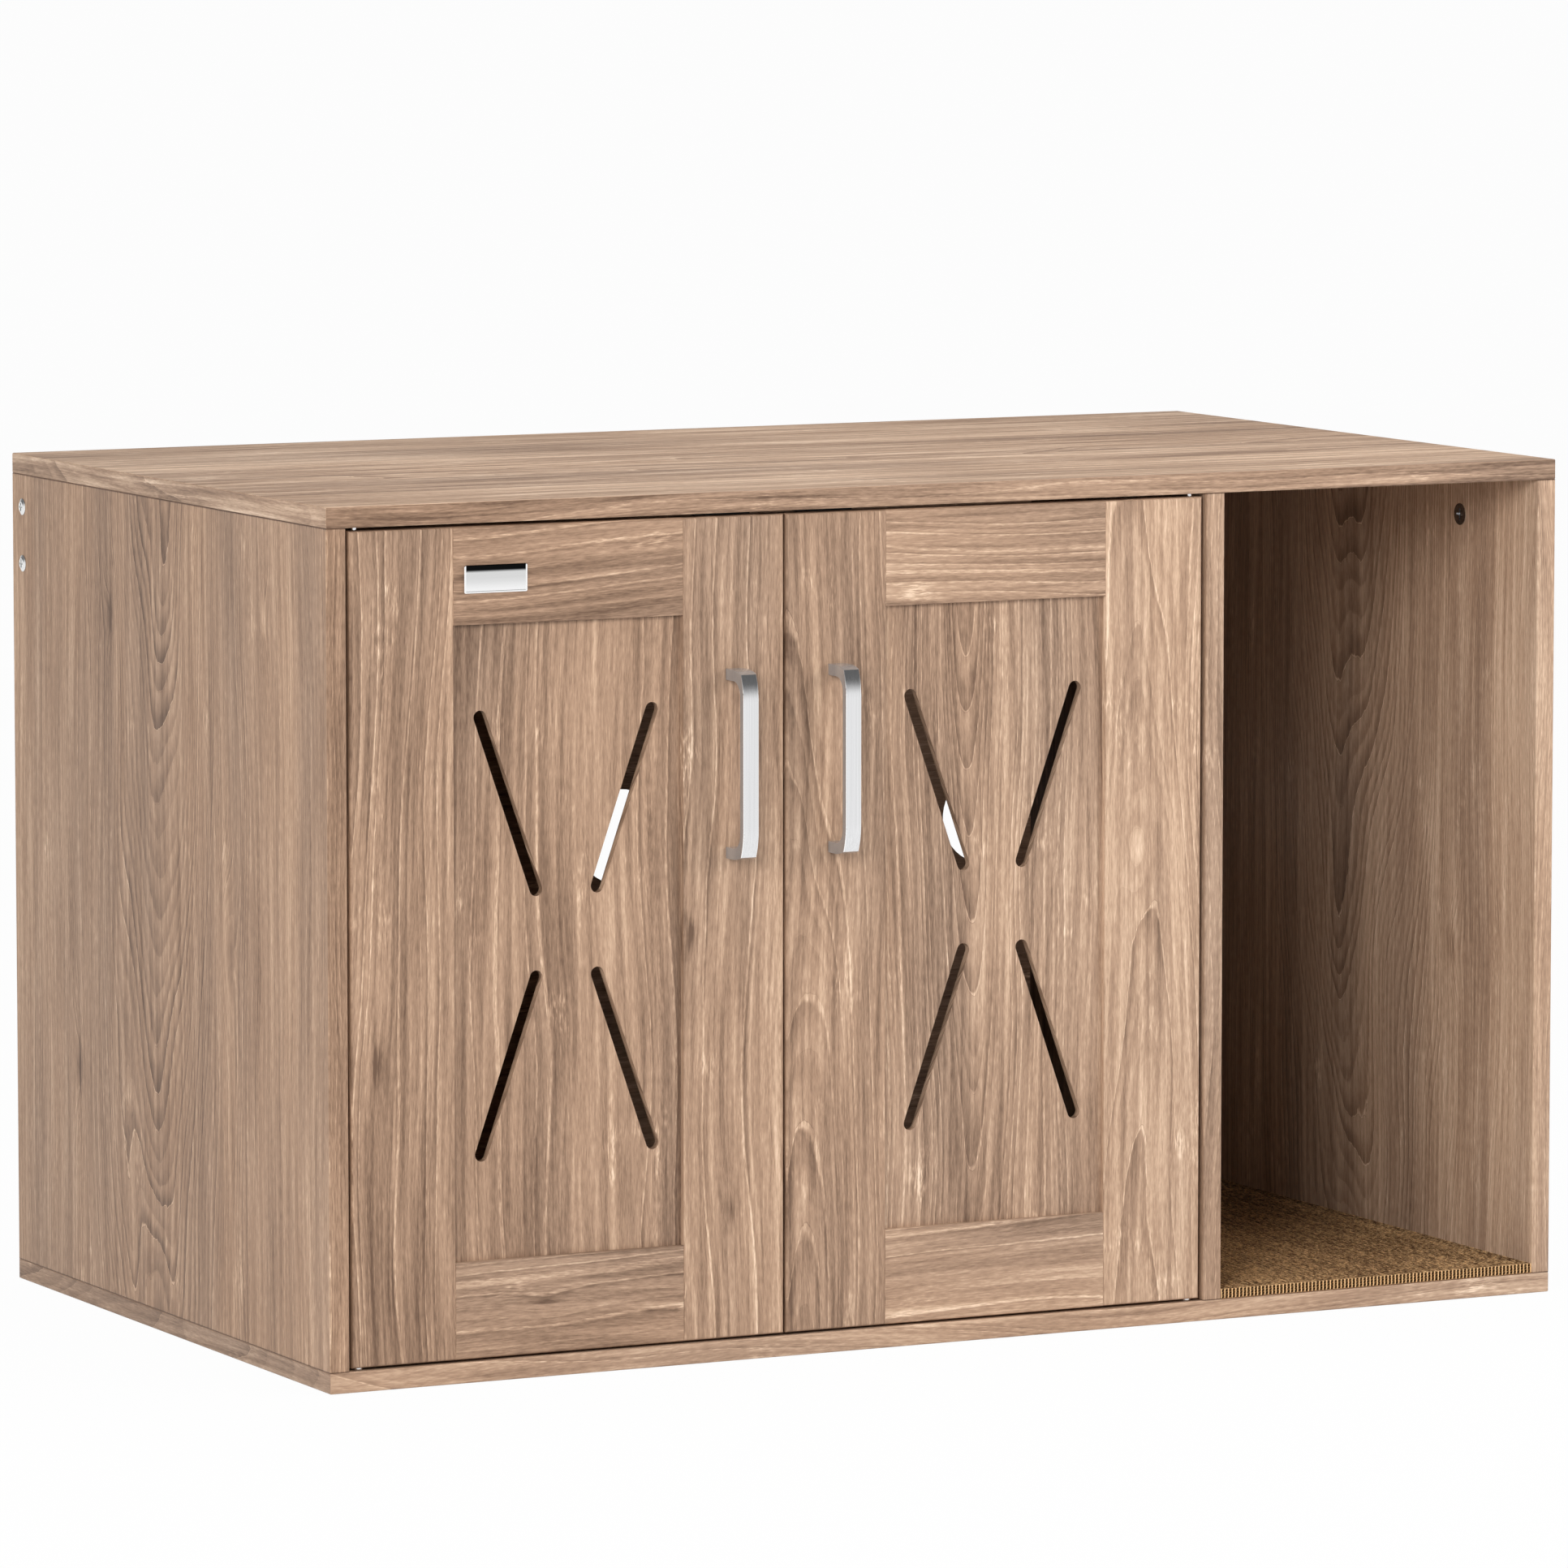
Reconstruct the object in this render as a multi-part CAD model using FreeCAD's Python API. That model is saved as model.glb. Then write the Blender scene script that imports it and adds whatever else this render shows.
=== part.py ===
import FreeCAD, Part
import math
import os

# A cat litter box cabinet: a board case with two framed doors on pin hinges, an open bay
# with a scratch pad, a half-deep divider that the cat walks round, and a thin vented back.
# X runs to the right seen from the front, Y to the back, Z up. The origin is the centre of
# the base, on the floor. Lengths are in millimetres.

V = FreeCAD.Vector

# Case
case_width = 1000.0
case_depth = 577.0
case_height = 626.0
board = 15.0  # thickness of every case board
edge_ease = 1.0  # rounding of the banded edges that show
bay_width = 267.0  # clear width of the open bay
divider_depth = 271.0

# Back panel and back rail
back_thick = 3.0
back_setback = 9.0  # from the rear edges of the boards to the back's rear face
back_tongue = 6.0  # how far the back reaches into each board
groove_play = 0.15
vent_diameter = 74.0
vent_spacing = 320.0
vent_rise = -1.5  # vents above mid height
rail_height = 91.0
rail_bolt_spacing = 42.5
rail_bolt_diameter = 6.0
rail_bolt_length = 55.0
bolt_head_diameter = 12.3
bolt_head_thick = 2.4
bolt_head_sunk = 1.0
barrel_diameter = 10.0
barrel_length = 12.0
barrel_from_end = 34.0

# Cam locks, dowels and base screws that hold the case together
cam_diameter = 15.0
cam_depth = 12.0
cam_lip_diameter = 16.4
cam_lip_thick = 0.6
cam_drop = 33.5  # from a board's end to the cam's centre
cam_front = 112.5  # from the front edge to the first cam
cam_rear = 90.0  # from the rear edge to the last cam
divider_cam_edge = 62.0  # from the divider's front and rear edges to its cams
cam_bolt_diameter = 6.0
cam_bolt_head = 4.0
cam_bolt_grip = 11.0  # thread in the top board
recess_width = 1.6
recess_depth = 1.6
dowel_diameter = 8.0
dowel_length = 30.0
dowel_in_flat = 11.0  # part of a dowel that sits in a board's flat face
dowel_end = 40.0  # from the front or rear edge to the nearest dowel
base_screw_diameter = 6.4
base_screw_length = 50.0
base_head_diameter = 10.0
base_head_taper = 3.0
base_head_sunk = 0.4
fit_gap = 0.1  # between a fixed pin, dowel or bolt and its hole

# Doors
door_inset = 1.5  # door face behind the front edges
door_thick = 15.0
hinge_gap = 3.0
meeting_gap = 2.0
top_gap = 2.4
bottom_gap = 1.8
stile_width = 80.0
door_rail_height = 69.5
door_ease = 1.8  # rounded outline of the door's face, which lets it turn past the board
seam_ease = 0.3  # bevel where the frame's pieces meet
panel_thick = 6.0
panel_recess = 5.0
panel_tongue = 8.0
panel_play = 0.3
slot_width = 10.0
slot_inner_x = 24.0  # slot ends, from the middle of the cross
slot_inner_z = 31.5
slot_outer_x = 67.3
slot_outer_z = 155.5
cross_rise = 4.6  # middle of the cross above the door's middle
door_dowel_diameter = 6.0
door_dowel_length = 30.0
door_dowel_spacing = 30.0

# Pin hinges
pin_diameter = 4.5
pin_from_edge = 7.0
pin_in_door = 14.0
pin_in_bush = 8.0
pin_clearance = 0.05
bush_diameter = 8.0
bush_length = 9.0
collar_diameter = 8.0
collar_play = 0.1

# Handles
handle_centres = 128.0
handle_width = 12.5
handle_reach = 28.0
handle_leg = 8.0
handle_bar = 5.3
handle_inner_radius = 10.5
handle_flat = 10.0  # level stretch of a leg before it curves
crease_back = 4.0  # crease behind the bar's face
crease_drop = 2.6  # crease below the leg's level stretch
crease_run = 19.5  # from the crease to where the bar's face is upright
handle_ease = 0.8
handle_from_edge = 40.0
handle_above_floor = 431.6
handle_screw_diameter = 4.0
handle_screw_grip = 9.0
handle_head_diameter = 8.5
handle_head_thick = 2.2

# Magnetic catches and strike plates
catch_from_edge = 40.0
catch_body = 28.0
catch_ear = 8.0
catch_ear_thick = 3.0
catch_depth = 15.0
catch_height = 13.0
magnet_width = 22.0
magnet_depth = 6.0
magnet_height = 6.0
catch_gap = 0.3
catch_screw_diameter = 3.0
catch_screw_length = 12.0
catch_head_diameter = 6.0
catch_head_thick = 1.6
strike_width = 36.0
strike_height = 9.0
strike_thick = 1.2
strike_margin = 0.8
strike_screw_length = 12.0
strike_hole_diameter = 3.4

# Scratch pad
pad_thick = 7.5
pad_side_gap = 0.5
pad_rear_gap = 6.0

# Places that several pieces share
x_left = -case_width / 2
x_right = case_width / 2
y_front = -case_depth / 2
y_rear = case_depth / 2
z_floor = board  # top of the base board
z_ceiling = case_height - board  # underside of the top board
x_bay_left = x_right - board - bay_width  # divider's right face
x_litter_right = x_bay_left - board  # divider's left face
x_litter_left = x_left + board
y_back_face = y_rear - back_setback - back_thick
y_divider_rear = y_front + divider_depth
door_width = (x_litter_right - x_litter_left - 2 * hinge_gap - meeting_gap) / 2
z_door_bottom = z_floor + bottom_gap
z_door_top = z_ceiling - top_gap
y_door = y_front + door_inset
y_door_rear = y_door + door_thick
y_pin = y_door + door_thick / 2
z_strike = z_door_top - strike_margin - strike_height / 2
y_rail_mid = y_back_face - groove_play - board / 2
cam_rows = [y_front + cam_front, y_rear - cam_rear]
divider_cam_rows = [y_front + divider_cam_edge, y_divider_rear - divider_cam_edge]
dowel_rows = [y_front + dowel_end, (y_front + y_back_face) / 2, y_back_face - dowel_end]
divider_dowel_rows = [y_front + dowel_end / 2, y_divider_rear - dowel_end / 2]


def block(x, y, z):
    """A box from three (low, high) pairs, given in either order."""
    low = V(min(x), min(y), min(z))
    size = V(max(x), max(y), max(z)) - low
    return Part.makeBox(size.x, size.y, size.z, low)


def rod(start, end, diameter):
    """A round rod between two points."""
    run = end - start
    return Part.makeCylinder(diameter / 2, run.Length, start, run)


def turned(start, direction, outline):
    """A turned piece: (distance along the axis, diameter) pairs, from end to end."""
    points = [V(0, 0, outline[0][0])]
    points += [V(diameter / 2, 0, along) for along, diameter in outline]
    points += [V(0, 0, outline[-1][0]), points[0]]
    face = Part.Face(Part.makePolygon(points))
    solid = face.revolve(V(0, 0, 0), V(0, 0, 1), 360)
    turn = FreeCAD.Rotation(V(0, 0, 1), direction)
    solid.Placement = FreeCAD.Placement(start, turn)
    return solid


def edges_at(shape, along, **fixed):
    """The straight edges that run along an axis at the given coordinates."""
    found = []
    for edge in shape.Edges:
        ends = [vertex.Point for vertex in edge.Vertexes]
        if len(ends) != 2:
            continue
        run = ends[1] - ends[0]
        if abs(abs(getattr(run, along)) - run.Length) > 0.001:
            continue
        if all(abs(getattr(p, a) - v) < 0.001 for p in ends for a, v in fixed.items()):
            found.append(edge)
    return found


def eased(shape, radius, edges):
    """The shape with the given edges rounded."""
    return shape.makeFillet(radius, edges)


def cross_recess(centre, direction, across, width, depth):
    """The cutter for a cross-shaped driver recess that opens against the direction."""
    low, high = -across / 2, across / 2
    bars = [
        block((low, high), (-width / 2, width / 2), (0, depth)),
        block((-width / 2, width / 2), (low, high), (0, depth)),
    ]
    cutter = bars[0].fuse(bars[1])
    cutter.Placement = FreeCAD.Placement(centre, FreeCAD.Rotation(V(0, 0, 1), direction))
    return cutter


def save(name, solids):
    """Writes one node: a solid, or a group of separate solids."""
    solids = solids if isinstance(solids, list) else [solids]
    shape = solids[0] if len(solids) == 1 else Part.makeCompound(solids)
    shape.exportStep(f"parts/{name}.step")
    places = ", ".join(f"{value:.1f}" for value in bounds(shape))
    print(f"{name}: {len(shape.Solids)} solid(s), valid {shape.isValid()}, {places}")


def bounds(shape):
    """Lowest and highest corner as six numbers."""
    box = shape.BoundBox
    return box.XMin, box.YMin, box.ZMin, box.XMax, box.YMax, box.ZMax


# Fasteners of the case. An upright is a board that stands between base and top: its middle
# plane, the face that its cams open on (-1 left, 1 right) and the rows of its fasteners.

uprights = {
    "left": (x_left + board / 2, 1, cam_rows, dowel_rows),
    "divider": (x_bay_left - board / 2, 1, divider_cam_rows, divider_dowel_rows),
    "right": (x_right - board / 2, -1, cam_rows, dowel_rows),
}


def cam_places(upright):
    """Centre of each cam's open face, and the side it opens to."""
    x_mid, side, rows, _ = uprights[upright]
    return [(V(x_mid + side * board / 2, y, z_ceiling - cam_drop), side) for y in rows]


def make_cam(centre, side):
    """A turned cam with a lip, a cross recess and the mouth that takes the bolt's head."""
    into = V(-side, 0, 0)
    lip = -cam_lip_thick
    outline = [(lip, cam_lip_diameter), (0, cam_lip_diameter)]
    outline += [(0, cam_diameter), (cam_depth - fit_gap, cam_diameter)]
    cam = turned(centre, into, outline)
    face = centre - into * cam_lip_thick
    cam = cam.cut(cross_recess(face, into, cam_diameter * 0.6, recess_width, recess_depth))
    mouth_foot = centre + into * (board / 2) - V(0, 0, cam_bolt_head)
    mouth_top = mouth_foot + V(0, 0, cam_bolt_head + cam_diameter)
    return cam.cut(rod(mouth_foot, mouth_top, cam_bolt_diameter + 4 * fit_gap + 1))


def make_cam_bolt(centre, side):
    """The bolt from the top board's underside down into a cam, with a waist and a head."""
    axis = centre - V(side * board / 2, 0, 0)
    reach = cam_drop + cam_bolt_head / 2
    foot = V(axis.x, axis.y, z_ceiling - reach)
    waist = cam_bolt_diameter * 0.6
    outline = [(0, cam_bolt_diameter), (cam_bolt_head, cam_bolt_diameter)]
    outline += [(cam_bolt_head, waist), (cam_bolt_head * 2, waist)]
    outline += [(cam_bolt_head * 2, cam_bolt_diameter), (reach + cam_bolt_grip, cam_bolt_diameter)]
    return turned(foot, V(0, 0, 1), outline)


def cam_bores(upright):
    """What the cams and their bolts cut from an upright."""
    cuts = []
    for centre, side in cam_places(upright):
        into = V(-side, 0, 0)
        cuts.append(rod(centre, centre + into * cam_depth, cam_diameter + 2 * fit_gap))
        axis = centre - V(side * board / 2, 0, 0)
        top = V(axis.x, axis.y, z_ceiling)
        cuts.append(rod(axis, top, cam_bolt_diameter + 2 * fit_gap))
    return cuts


def cam_bolt_bores():
    """Blind bores in the top board for the cam bolts."""
    cuts = []
    for upright in uprights:
        for centre, side in cam_places(upright):
            start = V(centre.x - side * board / 2, centre.y, z_ceiling)
            depth = V(0, 0, cam_bolt_grip + fit_gap)
            cuts.append(rod(start, start + depth, cam_bolt_diameter + 2 * fit_gap))
    return cuts


def dowels(extra=0.0):
    """The upright dowels at both ends of every upright, or with extra their bores."""
    found = []
    diameter = dowel_diameter + 2 * extra
    in_end = dowel_length - dowel_in_flat
    for x_mid, _, _, rows in uprights.values():
        for y in rows:
            low = V(x_mid, y, z_floor - dowel_in_flat - extra)
            found.append(rod(low, V(x_mid, y, z_floor + in_end + extra), diameter))
            low = V(x_mid, y, z_ceiling - in_end - extra)
            found.append(rod(low, V(x_mid, y, z_ceiling + dowel_in_flat + extra), diameter))
    return found


def base_screws(extra=0.0):
    """The screws up through the base into the uprights, or with extra their bores."""
    found = []
    for x_mid, _, rows, _ in uprights.values():
        for y in rows:
            head = base_head_diameter + 2 * extra
            shank = base_screw_diameter + 2 * extra
            start = 0 if extra else base_head_sunk
            taper = base_head_sunk + base_head_taper
            end = base_screw_length + extra
            outline = [(start, head), (base_head_sunk, head), (taper, shank), (end, shank)]
            outline = outline if extra else outline[1:]
            found.append(turned(V(x_mid, y, 0), V(0, 0, 1), outline))
    return found


def rail_bolt_places():
    """Where each back rail bolt enters a side board, and its direction."""
    found = []
    z_mid = z_ceiling - rail_height / 2
    for x, into in ((x_left, V(1, 0, 0)), (x_right, V(-1, 0, 0))):
        for shift in (rail_bolt_spacing / 2, -rail_bolt_spacing / 2):
            found.append((V(x, y_rail_mid, z_mid + shift), into))
    return found


def make_rail_bolt(place, into):
    """A low-headed furniture bolt with a cross recess."""
    top = bolt_head_sunk - bolt_head_thick
    crown = top + bolt_head_thick * 0.45
    outline = [(top, bolt_head_diameter * 0.62), (crown, bolt_head_diameter)]
    outline += [(bolt_head_sunk, bolt_head_diameter), (bolt_head_sunk, rail_bolt_diameter)]
    outline += [(rail_bolt_length, rail_bolt_diameter)]
    bolt = turned(place, into, outline)
    across = bolt_head_diameter * 0.5
    return bolt.cut(cross_recess(place + into * top, into, across, recess_width, recess_depth))


def rail_bolt_bores():
    """Counterbored bores for the rail bolts."""
    cuts = []
    for place, into in rail_bolt_places():
        end = place + into * (rail_bolt_length + fit_gap)
        cuts.append(rod(place, end, rail_bolt_diameter + 2 * fit_gap))
        end = place + into * bolt_head_sunk
        cuts.append(rod(place, end, bolt_head_diameter + 4 * fit_gap))
    return cuts


def barrel_nuts(extra=0.0):
    """The cross barrels that the rail bolts screw into, or with extra their bores."""
    found = []
    for place, into in rail_bolt_places():
        centre = place + into * (board + barrel_from_end)
        front = V(centre.x, centre.y - board / 2, centre.z)
        depth = V(0, barrel_length + extra, 0)
        barrel = rod(front, front + depth, barrel_diameter + 2 * extra)
        if not extra:
            end = place + into * (rail_bolt_length + fit_gap)
            barrel = barrel.cut(rod(place, end, rail_bolt_diameter + 2 * fit_gap))
        found.append(barrel)
    return found


# Case boards


def flat_board(z_low, z_high):
    """The top or the base: a full-size board with every outer edge eased."""
    slab = block((x_left, x_right), (y_front, y_rear), (z_low, z_high))
    return eased(slab, edge_ease, slab.Edges)


def back_groove(z_low, z_high):
    """The groove that the back panel slides in, as a cutter."""
    x = (x_left + board - back_tongue - groove_play, x_right - board + back_tongue + groove_play)
    y = (y_back_face - groove_play, y_back_face + back_thick + groove_play)
    return block(x, y, (z_low - back_tongue - groove_play, z_high + back_tongue + groove_play))


def bush_bores():
    """Blind bores for the hinge bushes in the top and the base."""
    cuts = []
    for x in [door.x_pin for door in doors]:
        for start, way in ((z_floor, -1), (z_ceiling, 1)):
            foot = V(x, y_pin, start)
            depth = V(0, 0, way * (bush_length + fit_gap))
            cuts.append(rod(foot, foot + depth, bush_diameter + 2 * fit_gap))
    return cuts


def make_top_panel():
    cuts = [back_groove(z_floor, z_ceiling)] + cam_bolt_bores() + dowels(fit_gap)
    cuts += bush_bores() + catch_screws(fit_gap)
    return flat_board(z_ceiling, case_height).cut(cuts)


def make_bottom_panel():
    cuts = [back_groove(z_floor, z_ceiling)] + dowels(fit_gap) + base_screws(fit_gap)
    return flat_board(0, z_floor).cut(cuts + bush_bores())


def make_side_panel(upright):
    """An outer side board: grooved for the back and bored for its fasteners."""
    x_mid = uprights[upright][0]
    x = (x_mid - board / 2, x_mid + board / 2)
    slab = block(x, (y_front, y_rear), (z_floor, z_ceiling))
    long_edges = [e for y in (y_front, y_rear) for e in edges_at(slab, "z", y=y)]
    slab = eased(slab, edge_ease, long_edges)
    cuts = [back_groove(z_floor, z_ceiling)] + cam_bores(upright) + dowels(fit_gap)
    return slab.cut(cuts + base_screws(fit_gap) + rail_bolt_bores())


def make_divider():
    slab = block((x_litter_right, x_bay_left), (y_front, y_divider_rear), (z_floor, z_ceiling))
    long_edges = [e for y in (y_front, y_divider_rear) for e in edges_at(slab, "z", y=y)]
    slab = eased(slab, edge_ease, long_edges)
    return slab.cut(cam_bores("divider") + dowels(fit_gap) + base_screws(fit_gap))


def make_back_panel():
    """The thin back with its row of round vents."""
    x = (x_left + board - back_tongue, x_right - board + back_tongue)
    z = (z_floor - back_tongue, z_ceiling + back_tongue)
    sheet = block(x, (y_back_face, y_back_face + back_thick), z)
    z_vent = case_height / 2 + vent_rise
    for x_vent in (-vent_spacing, 0, vent_spacing):
        start = V(x_vent, y_back_face - 1, z_vent)
        sheet = sheet.cut(rod(start, start + V(0, back_thick + 2, 0), vent_diameter))
    return sheet


def make_back_rail():
    x = (x_left + board, x_right - board)
    y = (y_rail_mid - board / 2, y_rail_mid + board / 2)
    slab = block(x, y, (z_ceiling - rail_height, z_ceiling))
    slab = eased(slab, edge_ease, edges_at(slab, "x", z=z_ceiling - rail_height))
    return slab.cut(rail_bolt_bores() + barrel_nuts(fit_gap))


# Doors


class Door:
    """One door: s runs from its hinge edge to its free edge, whichever way it is hung."""

    def __init__(self, name, hinge_face, inward):
        self.name = name
        self.inward = inward
        self.x_edge = hinge_face + inward * hinge_gap
        self.x_pin = self.x(pin_from_edge)
        self.x_handle = self.x(door_width - handle_from_edge)
        self.x_catch = self.x(door_width - catch_from_edge)

    def x(self, s):
        return self.x_edge + self.inward * s

    def slab(self, s, z):
        """A piece of the door's frame: bevelled at its seams, rounded at the door's outline."""
        piece = block((self.x(s[0]), self.x(s[1])), (y_door, y_door_rear), z)
        seams = [e for t in s if 0 < t < door_width for e in edges_at(piece, "z", x=self.x(t), y=y_door)]
        seams += [e for end in z if end in z_panel for e in edges_at(piece, "x", y=y_door, z=end)]
        piece = piece.makeChamfer(seam_ease, seams)
        for y, radius in ((y_door, door_ease), (y_door_rear, edge_ease)):
            rim = [e for t in (0, door_width) for e in edges_at(piece, "z", x=self.x(t), y=y)]
            rim += [e for end in z_ends for e in edges_at(piece, "x", y=y, z=end)]
            piece = eased(piece, radius, rim)
        return piece


doors = [Door("left", x_litter_left, 1), Door("right", x_litter_right, -1)]
z_ends = (z_door_bottom, z_door_top)
s_panel = (stile_width, door_width - stile_width)  # the opening that the frame leaves
z_panel = (z_door_bottom + door_rail_height, z_door_top - door_rail_height)


def frame_groove(door):
    """The groove round the frame's opening that holds the centre panel."""
    reach = panel_tongue + panel_play
    y = y_door + panel_recess
    x = (door.x(s_panel[0] - reach), door.x(s_panel[1] + reach))
    z = (z_panel[0] - reach, z_panel[1] + reach)
    return block(x, (y - groove_play, y + panel_thick + groove_play), z)


def frame_dowels(door, extra=0.0):
    """The dowels that join rails to stiles, or with extra their bores."""
    found = []
    z_rails = (z_door_bottom + door_rail_height / 2, z_door_top - door_rail_height / 2)
    half = door_dowel_length / 2 + extra
    for z_rail in z_rails:
        for shift in (-door_dowel_spacing / 2, door_dowel_spacing / 2):
            for s in s_panel:
                ends = [V(door.x(s + way * half), y_pin, z_rail + shift) for way in (-1, 1)]
                found.append(rod(ends[0], ends[1], door_dowel_diameter + 2 * extra))
    return found


def make_outer_stile(door):
    """The hinge stile, bored at both ends for the pins."""
    cuts = [frame_groove(door)] + frame_dowels(door, fit_gap)
    cuts += [pin_bore(door, z_door_bottom, 1), pin_bore(door, z_door_top, -1)]
    return door.slab((0, stile_width), z_ends).cut(cuts)


def make_inner_stile(door):
    """The free stile, which carries the handle and the strike plate."""
    cuts = [frame_groove(door)] + frame_dowels(door, fit_gap)
    for z in handle_screw_heights():
        front = V(door.x_handle, y_door, z)
        cuts.append(rod(front, front + V(0, door_thick, 0), handle_screw_diameter + 4 * fit_gap))
    cuts.append(make_strike_screw(door, fit_gap))
    return door.slab((door_width - stile_width, door_width), z_ends).cut(cuts)


def make_door_rail(door, z):
    """A top or bottom rail, between the stiles."""
    return door.slab(s_panel, z).cut([frame_groove(door)] + frame_dowels(door, fit_gap))


def slot_cutter(centre, way_x, way_z):
    """One slanted round-ended slot of the cross, through the panel."""
    inner = centre + V(way_x * slot_inner_x, 0, way_z * slot_inner_z)
    outer = centre + V(way_x * slot_outer_x, 0, way_z * slot_outer_z)
    along = (outer - inner).normalize()
    side = V(along.z, 0, -along.x) * (slot_width / 2)
    tip = along * (slot_width / 2)
    edges = [
        Part.LineSegment(inner + side, outer + side).toShape(),
        Part.Arc(outer + side, outer + tip, outer - side).toShape(),
        Part.LineSegment(outer - side, inner - side).toShape(),
        Part.Arc(inner - side, inner - tip, inner + side).toShape(),
    ]
    return Part.Face(Part.Wire(edges)).extrude(V(0, panel_thick + 2, 0))


def make_centre_panel(door):
    """The thin centre panel with four slots that make a cross."""
    y = y_door + panel_recess
    x = (door.x(s_panel[0] - panel_tongue), door.x(s_panel[1] + panel_tongue))
    z = (z_panel[0] - panel_tongue, z_panel[1] + panel_tongue)
    sheet = block(x, (y, y + panel_thick), z)
    middle = V(door.x(door_width / 2), y - 1, (z_door_bottom + z_door_top) / 2 + cross_rise)
    ways = [(way_x, way_z) for way_x in (-1, 1) for way_z in (-1, 1)]
    return sheet.cut([slot_cutter(middle, way_x, way_z) for way_x, way_z in ways])


def pin_bore(door, z_edge, way):
    """The bore for a hinge pin in the door's edge."""
    start = V(door.x_pin, y_pin, z_edge)
    return rod(start, start + V(0, 0, way * (pin_in_door + fit_gap)), pin_diameter + 2 * fit_gap)


def make_hinge_pins(door):
    """The top pin, and the bottom pin with the collar that the door stands on."""
    place = V(door.x_pin, y_pin, 0)
    top_start = V(place.x, place.y, z_door_top - pin_in_door)
    top_end = V(place.x, place.y, z_ceiling + pin_in_bush)
    collar = bottom_gap - collar_play
    outline = [(-bottom_gap - pin_in_bush, pin_diameter), (-collar, pin_diameter)]
    outline += [(-collar, collar_diameter), (0, collar_diameter)]
    outline += [(0, pin_diameter), (pin_in_door, pin_diameter)]
    bottom = turned(place + V(0, 0, z_door_bottom), V(0, 0, 1), outline)
    return [rod(top_start, top_end, pin_diameter), bottom]


def make_hinge_bushes():
    """A bush in the base and one in the top board for each door."""
    found = []
    for door in doors:
        for start, way in ((z_floor, -1), (z_ceiling, 1)):
            foot = V(door.x_pin, y_pin, start)
            end = foot + V(0, 0, way * bush_length)
            bore = rod(foot, end, pin_diameter + 2 * pin_clearance)
            found.append(rod(foot, end, bush_diameter).cut(bore))
    return found


# Handles


def tangent_arc(start, heading, end):
    """The arc that leaves start along heading and reaches end."""
    chord = end - start
    across = chord - heading * chord.dot(heading)
    normal = across.normalize()
    radius = chord.Length**2 / (2 * chord.dot(normal))
    centre = start + normal * radius
    middle = ((start - centre) + (end - centre)).normalize() * radius + centre
    return Part.Arc(start, middle, end).toShape()


def line(start, end):
    return Part.LineSegment(start, end).toShape()


def handle_half(way):
    """Outer and inner edges of half the handle's side outline, from the middle to the leg.
    The outer one has a level stretch, a soft shoulder, a crease and a curved corner."""
    tip = way * (handle_centres + handle_leg) / 2
    face, inside = -handle_reach, -(handle_reach - handle_bar)
    wall, level = V(0, 0, tip), V(0, -handle_flat, tip)
    crease = V(0, face + crease_back, tip - way * crease_drop)
    upright = V(0, face, tip - way * (crease_drop + crease_run))
    outer = [
        line(V(0, face, 0), upright),
        tangent_arc(upright, V(0, 0, way), crease),
        tangent_arc(level, V(0, -1, 0), crease),
        line(level, wall),
    ]
    z_leg = tip - way * handle_leg
    bend_end = V(0, inside, z_leg - way * handle_inner_radius)
    bend_start = V(0, inside + handle_inner_radius, z_leg)
    inner = [
        line(V(0, inside, 0), bend_end),
        tangent_arc(bend_end, V(0, 0, way), bend_start),
        line(bend_start, V(0, 0, z_leg)),
        line(V(0, 0, z_leg), wall),
    ]
    return outer + inner


def handle_screw_heights():
    return [handle_above_floor + way * handle_centres / 2 for way in (-1, 1)]


def make_handle(door):
    """A flat bar handle with two legs, bored for its screws."""
    outline = Part.Wire(Part.__sortEdges__(handle_half(1) + handle_half(-1)))
    bar = Part.Face(outline).extrude(V(handle_width, 0, 0))
    bar.translate(V(door.x_handle - handle_width / 2, y_door, handle_above_floor))
    front = y_door - handle_reach
    edges = [e for e in bar.Edges if is_front_edge(e, front + crease_back + 0.01)]
    bar = eased(bar, handle_ease, edges)
    for z in handle_screw_heights():
        foot = V(door.x_handle, y_door, z)
        bore = rod(foot, foot - V(0, handle_screw_grip + 1, 0), handle_screw_diameter + 2 * fit_gap)
        bar = bar.cut(bore)
    return bar


def is_front_edge(edge, y_limit):
    """Whether an edge runs along one side of the handle's front face."""
    box = edge.BoundBox
    return box.XLength < 0.001 and box.YMax < y_limit


def make_handle_screws(door):
    """Pan-headed screws from behind the door into the handle's legs."""
    found = []
    for z in handle_screw_heights():
        start = V(door.x_handle, y_door_rear + handle_head_thick, z)
        end = handle_head_thick + door_thick + handle_screw_grip
        outline = [(0, handle_head_diameter * 0.6), (handle_head_thick * 0.5, handle_head_diameter)]
        outline += [(handle_head_thick, handle_head_diameter), (handle_head_thick, handle_screw_diameter)]
        outline += [(end, handle_screw_diameter)]
        found.append(turned(start, V(0, -1, 0), outline))
    return found


# Catches

y_catch = y_door_rear + strike_thick + catch_gap  # front face of the catches


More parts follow.
